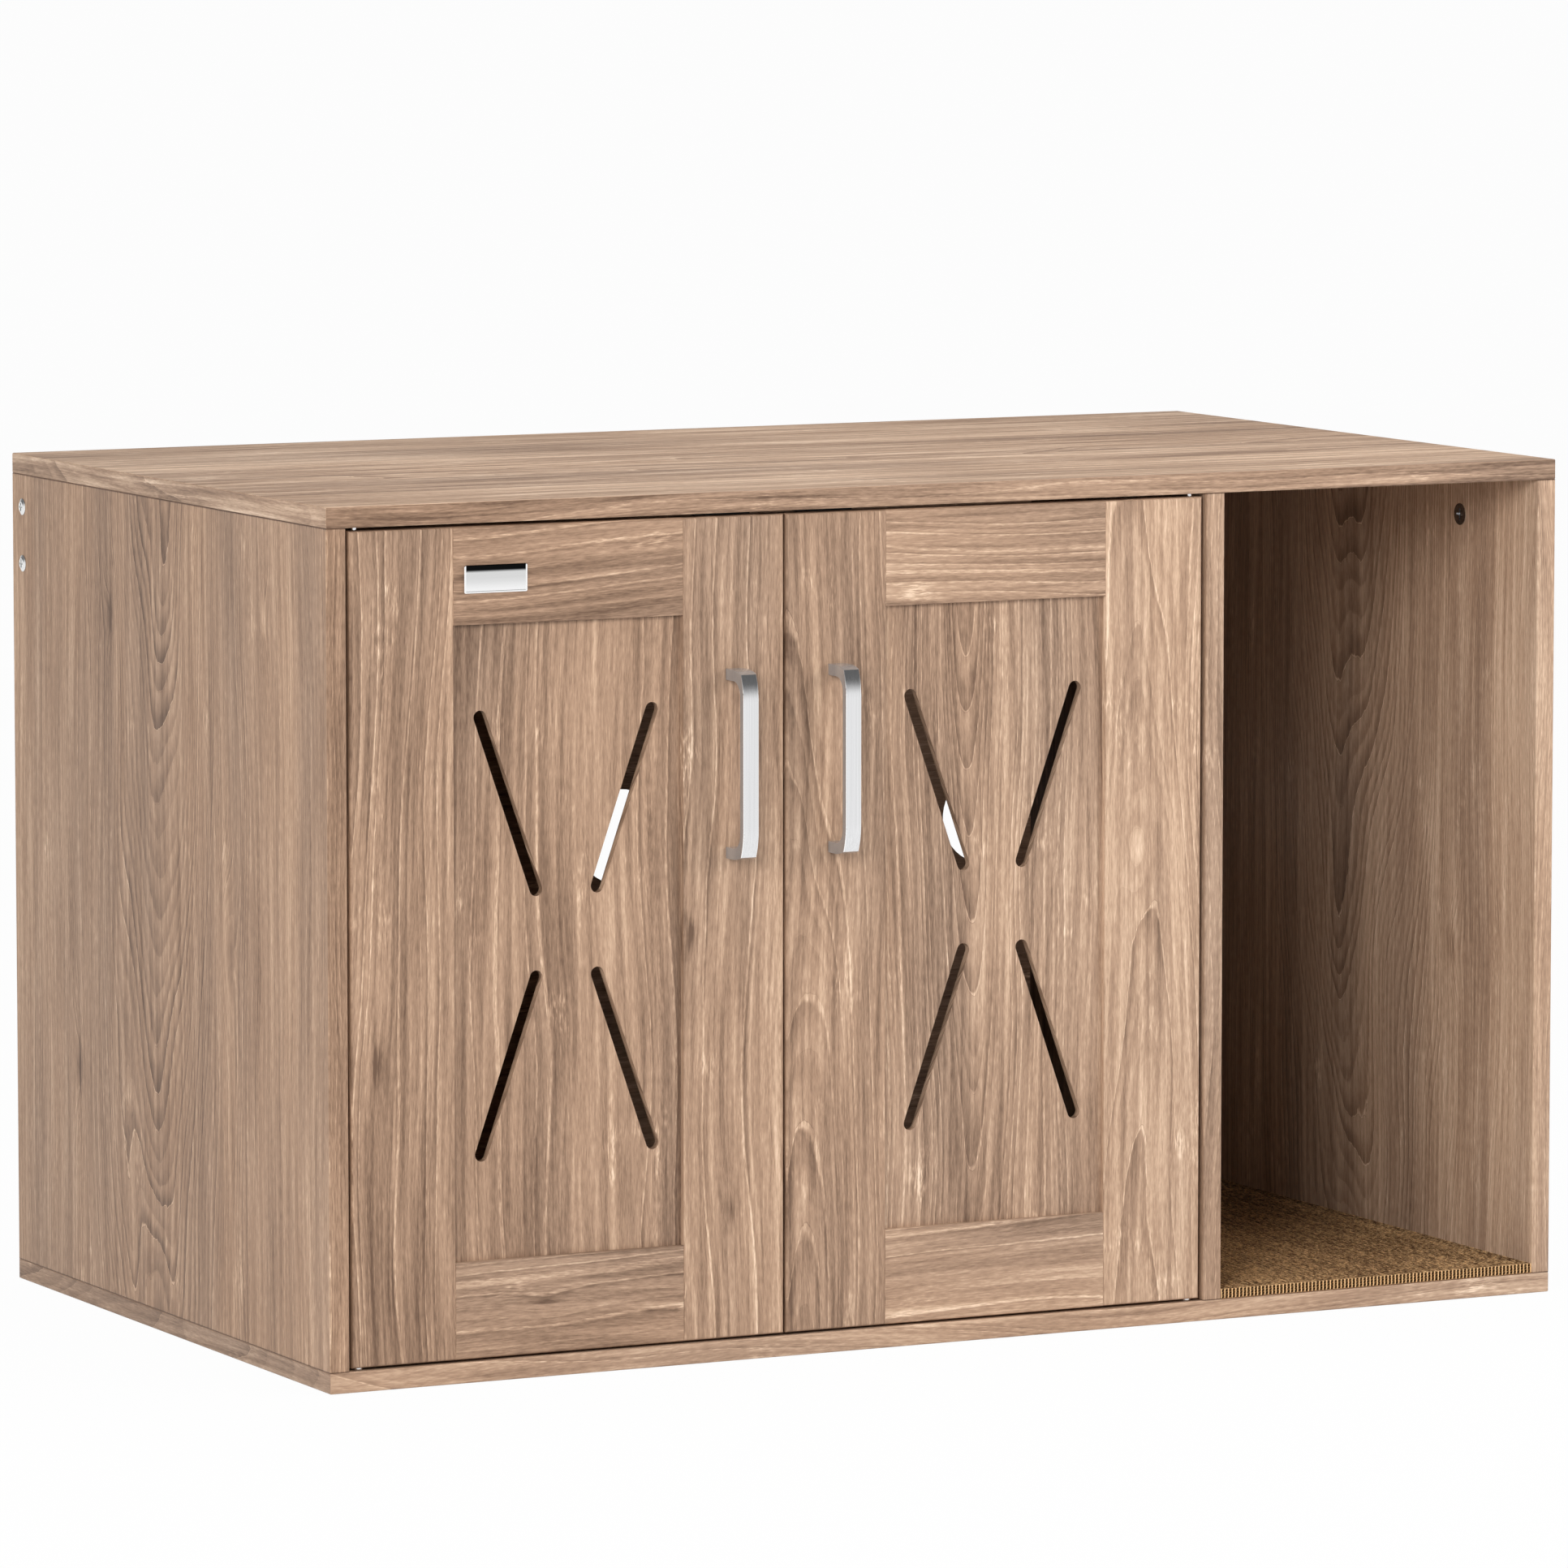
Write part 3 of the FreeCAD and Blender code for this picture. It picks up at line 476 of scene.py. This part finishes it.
def prisms(corners, low, high, axis):
    """Closed prisms from loops of corners. corners is (count, loop, 2), in the two axes after
    axis; low and high are the ends along axis. Points are the loops at low, then at high."""
    count, loop, _ = corners.shape
    points = np.zeros((count, 2, loop, 3))
    points[:, :, :, (axis + 1) % 3] = corners[:, None, :, 0]
    points[:, :, :, (axis + 2) % 3] = corners[:, None, :, 1]
    points[:, 0, :, axis] = low
    points[:, 1, :, axis] = high
    start_at = (np.arange(count) * 2 * loop)[:, None]
    here = np.arange(loop)
    after = (here + 1) % loop
    walls = np.stack([here, after, after + loop, here + loop], axis=1)
    faces = (start_at[:, :, None] + walls[None]).reshape(-1, 4).tolist()
    faces += (start_at + here[::-1]).tolist()
    faces += (start_at + loop + here).tolist()
    return points.reshape(-1, 3), faces


def ribbons(path, half, low, high, axis):
    """Folded sheets: each path (count, steps, 2) gets a thickness of 2 * half in its first
    coordinate, and runs from low to high along axis. Faces close each ribbon all round."""
    count, steps, _ = path.shape
    points = np.zeros((count, 2, 2, steps, 3))
    for side, shift in ((0, -half), (1, half)):
        points[:, side, :, :, (axis + 1) % 3] = path[:, None, :, 0] + shift
        points[:, side, :, :, (axis + 2) % 3] = path[:, None, :, 1]
    points[:, :, 0, :, axis] = low
    points[:, :, 1, :, axis] = high
    index = np.arange(count * 4 * steps).reshape(count, 2, 2, steps)
    a, b = index[..., :-1], index[..., 1:]
    first, last = index[..., 0], index[..., -1]
    quads = [
        (a[:, 0, 0], a[:, 0, 1], b[:, 0, 1], b[:, 0, 0]),
        (a[:, 1, 0], b[:, 1, 0], b[:, 1, 1], a[:, 1, 1]),
        (a[:, 0, 0], b[:, 0, 0], b[:, 1, 0], a[:, 1, 0]),
        (a[:, 0, 1], a[:, 1, 1], b[:, 1, 1], b[:, 0, 1]),
        (first[:, 0, 0], first[:, 1, 0], first[:, 1, 1], first[:, 0, 1]),
        (last[:, 0, 0], last[:, 0, 1], last[:, 1, 1], last[:, 1, 0]),
    ]
    faces = np.concatenate([np.stack(quad, axis=-1).reshape(-1, 4) for quad in quads])
    return points.reshape(-1, 3), faces.tolist()


# The scratch pad: flat liners across the bay, and between them a folded flute. The flute's
# tubes stand upright, and those of the strip at the front point forward.

PAD_LAYERS = 86
LINER = 0.00034  # thickness of a liner
PAPER = 0.00026  # thickness of a flute
BACKING = 0.0006  # thickness of the sheet under the liners
FRONT_STRIP = 0.0045  # depth of the strip at the front
SUNK = 0.0002  # how far the flutes stay behind the liners' cut edges
FLUTE_WAVE, FRONT_WAVE = 0.006, 0.0024  # lengths of one wave
WAVE_STEPS = np.array([0.08, 0.42, 0.58, 0.92])  # both ends of both crests of a wave
WAVE_SIDES = [1.0, 1.0, -1.0, -1.0]


def wave(run, length, pieces):
    """Folded paper along a run: how far along each step is, from 0 to 1, and its side, from
    -1 to 1, each as (pieces, steps). The crests are level, and the paper starts between them."""
    count = round(run / length)
    along = (np.arange(count)[:, None] + WAVE_STEPS).ravel() / count
    along = np.concatenate([[0.0], along, [1.0]])
    side = np.concatenate([[0.0], np.tile(WAVE_SIDES, count), [0.0]])
    return np.tile(along, (pieces, 1)), np.tile(side, (pieces, 1))


def make_scratch_pad():
    """Corrugated board on edge, in the place of the CAD's plain block."""
    low, high = (np.array(corner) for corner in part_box("scratch_pad"))
    pitch = (high[X] - low[X]) / PAD_LAYERS
    backing, flute_top = low[Z] + BACKING, high[Z] - SUNK
    cuts = dict(pitch=pitch, front=low[Y], top=high[Z])
    paper_mat = kraft("kraft_flutes", srgb(70, 44, 26), srgb(222, 176, 122), **cuts)
    liner_mat = kraft("kraft_liners", srgb(84, 52, 32), srgb(255, 214, 160), **cuts)

    lines = low[X] + np.arange(PAD_LAYERS + 1) * pitch
    lines = np.clip(lines, low[X] + LINER / 2, high[X] - LINER / 2)
    loops = rectangles(lines - LINER / 2, lines + LINER / 2, low[Y], high[Y])
    points, faces = prisms(loops, backing, high[Z], Z)
    liners = new_piece("pad_liners", points, faces, liner_mat, "scratch_pad")
    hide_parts("scratch_pad")

    middle = (lines[:-1] + lines[1:]) / 2
    reach = (pitch - LINER - PAPER) / 2
    rng = np.random.default_rng(7)
    front = low[Y] + FRONT_STRIP
    run = high[Y] - low[Y] - FRONT_STRIP
    half = PAD_LAYERS // 2
    for name, centre in (("left", middle[:half]), ("right", middle[half:])):
        along, side = wave(run, FLUTE_WAVE, len(centre))
        shift = rng.uniform(-0.5, 0.5, (len(centre), 1)) * FLUTE_WAVE
        y = np.clip(front + along * run + shift, front, high[Y])
        path = np.stack([centre[:, None] + side * reach, y], axis=-1)
        points, faces = ribbons(path, PAPER / 2, backing, flute_top, Z)
        new_piece(f"pad_flutes_{name}", points, faces, paper_mat, "scratch_pad")

    # The front strip is made lying down, and then y and z are exchanged
    rise = flute_top - backing
    along, side = wave(rise, FRONT_WAVE, PAD_LAYERS)
    path = np.stack([middle[:, None] + side * reach, backing + along * rise], axis=-1)
    points, faces = ribbons(path, PAPER / 2, low[Y] + SUNK, front, Z)
    points = points[:, [X, Z, Y]]
    faces = [face[::-1] for face in faces]
    new_piece("pad_front_flutes", points, faces, paper_mat, "scratch_pad")

    sheet = rectangles(low[X:Y], high[X:Y], low[Y], high[Y])
    points, faces = prisms(sheet, low[Z], backing, Z)
    backing_mat = kraft("kraft_backing", srgb(60, 40, 26), srgb(120, 88, 62), **cuts)
    new_piece("pad_backing", points, faces, backing_mat, "scratch_pad")


# The nameplate: its corners in x and z, and its section from the rim inwards, as the distance
# in from its outline and the height over the rail, in mm.

PLATE_LOW, PLATE_HIGH = np.array([-0.3938, 0.5613]), np.array([-0.3446, 0.5812])
PLATE_SECTION = [
    (0.0, 0.0), (0.0, 0.75), (0.15, 1.05), (0.45, 1.2),
    (0.95, 1.2), (1.2, 1.18), (1.5, 1.12), (1.9, 1.1),
]
PLATE_CORNER, PLATE_LEAST_CORNER = 0.0012, 0.0002
CORNER_STEPS = 8


def make_nameplate():
    """A bare pressed plate. Rectangular loops with rounded corners are set in step by step:
    up the side, over a raised rim and down to the flat middle."""
    rail_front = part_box("left_door_top_rail")[0][Y]
    steps = np.array(PLATE_SECTION) * MM
    angles = np.concatenate([
        np.linspace(q * math.pi / 2, (q + 1) * math.pi / 2, CORNER_STEPS) for q in range(4)
    ])
    centre, half = (PLATE_LOW + PLATE_HIGH) / 2, (PLATE_HIGH - PLATE_LOW) / 2
    quarter = np.repeat(np.array([[1, 1], [-1, 1], [-1, -1], [1, -1]]), CORNER_STEPS, axis=0)
    inset = steps[:, 0][:, None, None]
    radius = np.maximum(PLATE_CORNER - inset, PLATE_LEAST_CORNER)
    around = np.stack([np.cos(angles), np.sin(angles)], -1)[None]
    flat = centre + quarter[None] * (half - inset - radius) + around * radius
    rows, loop, _ = flat.shape
    y = np.broadcast_to(rail_front - steps[:, 1][:, None], (rows, loop))
    points = np.stack([flat[..., 0], y, flat[..., 1]], axis=-1).reshape(-1, 3)
    ring, step = np.meshgrid(np.arange(loop), np.arange(rows - 1))
    a = step * loop + ring
    b = step * loop + (ring + 1) % loop
    faces = np.stack([a, b, b + loop, a + loop], -1).reshape(-1, 4).tolist()
    faces.append(list(range((rows - 1) * loop, rows * loop)))
    faces.append(list(range(loop))[::-1])
    plate_mat = plate_metal("plate_metal", PLATE_LOW, PLATE_HIGH)
    plate = new_piece("nameplate", points, faces, plate_mat, "left_door")
    bevel = plate.modifiers.new("soft", "BEVEL")
    bevel.width, bevel.segments, bevel.limit_method = 0.0001, 2, "ANGLE"


# Finishes for the pieces that come from the frame


def dress(names, material):
    """Gives these nodes one material."""
    for name in names:
        mesh = nodes[name].data
        mesh.materials.clear()
        mesh.materials.append(material)


for board, look in BOARDS.items():
    low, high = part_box(board)
    middle = (low[look["edge"]] + high[look["edge"]]) / 2
    ends = (low[Z], high[Z]) if board in JOINT_SHADOWED else None
    dress([board], foil(f"foil_{board}", middle=middle, ends=ends, **look))

zinc = metal("zinc_plate", (0.88, 0.88, 0.87), 0.20, variation=0.06, spots=300)
dark_zinc = metal("dark_zinc", (0.62, 0.62, 0.63), 0.22, variation=0.20, spots=500)
steel = metal("bright_steel", (0.62, 0.62, 0.62), 0.25, variation=0.08)
chrome = metal("pin_chrome", (0.82, 0.82, 0.83), 0.08, variation=0.02)
satin = handle_metal("satin_chrome")
magnet = metal("magnet_ferrite", (0.09, 0.09, 0.095), 0.5, variation=0.15)
black = moulded("black_nylon", srgb(24, 24, 25))

dress(["case_dowels", "left_door_dowels", "right_door_dowels"], beech())
dress(["rail_bolts", "rail_barrel_nuts"], zinc)
dress(["cam_locks"], dark_zinc)
dress(["cam_bolts", "base_screws", "catch_screws"], steel)
dress(["hinge_bushes", "catch_housings"], black)
dress(["catch_magnets"], magnet)
for side in ("left", "right"):
    dress([f"{side}_door_handle"], satin)
    dress([f"{side}_door_hinge_pins"], chrome)
    steel_pieces = ("handle_screws", "strike_plate", "strike_screw")
    dress([f"{side}_door_{piece}" for piece in steel_pieces], steel)

make_scratch_pad()
make_nameplate()


# Floor, light and camera

FLOOR_REACH = 60.0
FLOOR_GAP = 0.0005  # below the case, so that the two faces don't lie in one plane
FLOOR_GLOW = 0.97  # how much of what the camera sees of the floor is plain white
FILL_LIGHT = 0.27  # the world's strength where it only lights things
MIRROR_HORIZON, MIRROR_OVERHEAD = 1.0, 0.14  # the world's strength as metal mirrors it

# Place, target, size and power
LAMPS = {
    "front_left": ((-2.4, -3.0, 1.7), (0, -0.2, 0.3), 1.2, 66),
    "side": ((-3.5, -1.8, 1.2), (-0.5, 0, 0.3), 1.4, 34),
    "right": ((1.6, -1.9, 1.3), (0.30, -0.3, 0.3), 1.2, 31),
    "top": ((0, -0.3, 3.4), (0, 0, 0.6), 2.5, 60),
}

CAMERA_PLACE = (-3.20186, -6.34925, 1.15722)
CAMERA_DOWN, CAMERA_TURN = 6.241, -26.783  # degrees
CAMERA_LENS, CAMERA_SENSOR = 219.14, 36


def make_floor():
    """A pale floor that the camera and reflections see as almost white, with a faint shadow."""
    reach = FLOOR_REACH
    corners = [(-reach, -reach, 0), (reach, -reach, 0), (reach, reach, 0), (-reach, reach, 0)]
    mesh = bpy.data.meshes.new("floor")
    mesh.from_pydata(corners, [], [(0, 1, 2, 3)])
    floor = bpy.data.objects.new("floor", mesh)
    floor.location.z = -FLOOR_GAP
    bpy.context.collection.objects.link(floor)
    material, shader, _, _ = start("floor_pale")
    finish(shader, (0.70, 0.70, 0.70, 1), 0.9)
    tree = material.node_tree
    path = tree.nodes.new("ShaderNodeLightPath")
    seen = Socket(tree, path.outputs["Is Camera Ray"]) + Socket(tree, path.outputs["Is Glossy Ray"])
    glow = seen.make("ShaderNodeEmission", inputs={"Color": WHITE, "Strength": 1.0})
    surface = Socket(tree, shader.outputs[0])
    inputs = {0: seen * FLOOR_GLOW, 1: surface, 2: glow}
    mixed = seen.make("ShaderNodeMixShader", inputs=inputs)
    tree.links.new(mixed.out, tree.nodes["Material Output"].inputs["Surface"])
    mesh.materials.append(material)


def make_world():
    """Even light. The camera sees white, and metal sees white that darkens overhead."""
    world = bpy.data.worlds.new("studio")
    bpy.context.scene.world = world
    world.use_nodes = True
    tree = world.node_tree
    background = tree.nodes["Background"]
    rays = tree.nodes.new("ShaderNodeLightPath").outputs
    camera_ray = Socket(tree, rays["Is Camera Ray"])
    glossy_ray = Socket(tree, rays["Is Glossy Ray"])
    through = Socket(tree, rays["Is Transmission Ray"])
    place = Socket(tree, tree.nodes.new("ShaderNodeTexCoord").outputs["Generated"])
    up = place.parts()[Z].smooth(-0.05, 0.36)
    lit = glossy_ray.fade(FILL_LIGHT, up.fade(MIRROR_HORIZON, MIRROR_OVERHEAD))
    strength = (camera_ray + through).math("MINIMUM", 1.0).fade(lit, 1.0)
    tree.links.new(strength.out, background.inputs["Strength"])
    background.inputs["Color"].default_value = WHITE


def make_lamp(name, place, target, size, power):
    """A soft square lamp that faces the target."""
    light = bpy.data.lights.new(name, "AREA")
    light.energy, light.size = power, size
    lamp = bpy.data.objects.new(name, light)
    bpy.context.collection.objects.link(lamp)
    lamp.location = place
    toward = np.array(target) - np.array(place)
    across = math.hypot(toward[X], toward[Y])
    lamp.rotation_euler = (math.atan2(across, -toward[Z]), 0, math.atan2(-toward[X], toward[Y]))
    lamp.visible_glossy = False


def make_camera():
    """The photograph's viewpoint, worked out from the corners of the case."""
    camera = bpy.data.objects.new("camera", bpy.data.cameras.new("camera"))
    bpy.context.collection.objects.link(camera)
    camera.location = CAMERA_PLACE
    camera.rotation_euler = (math.radians(90 - CAMERA_DOWN), 0, math.radians(CAMERA_TURN))
    camera.data.lens = CAMERA_LENS
    camera.data.sensor_width = CAMERA_SENSOR
    bpy.context.scene.camera = camera


make_floor()
make_world()
for name, setting in LAMPS.items():
    make_lamp(name, *setting)
make_camera()

bpy.context.scene.view_settings.view_transform = "Standard"
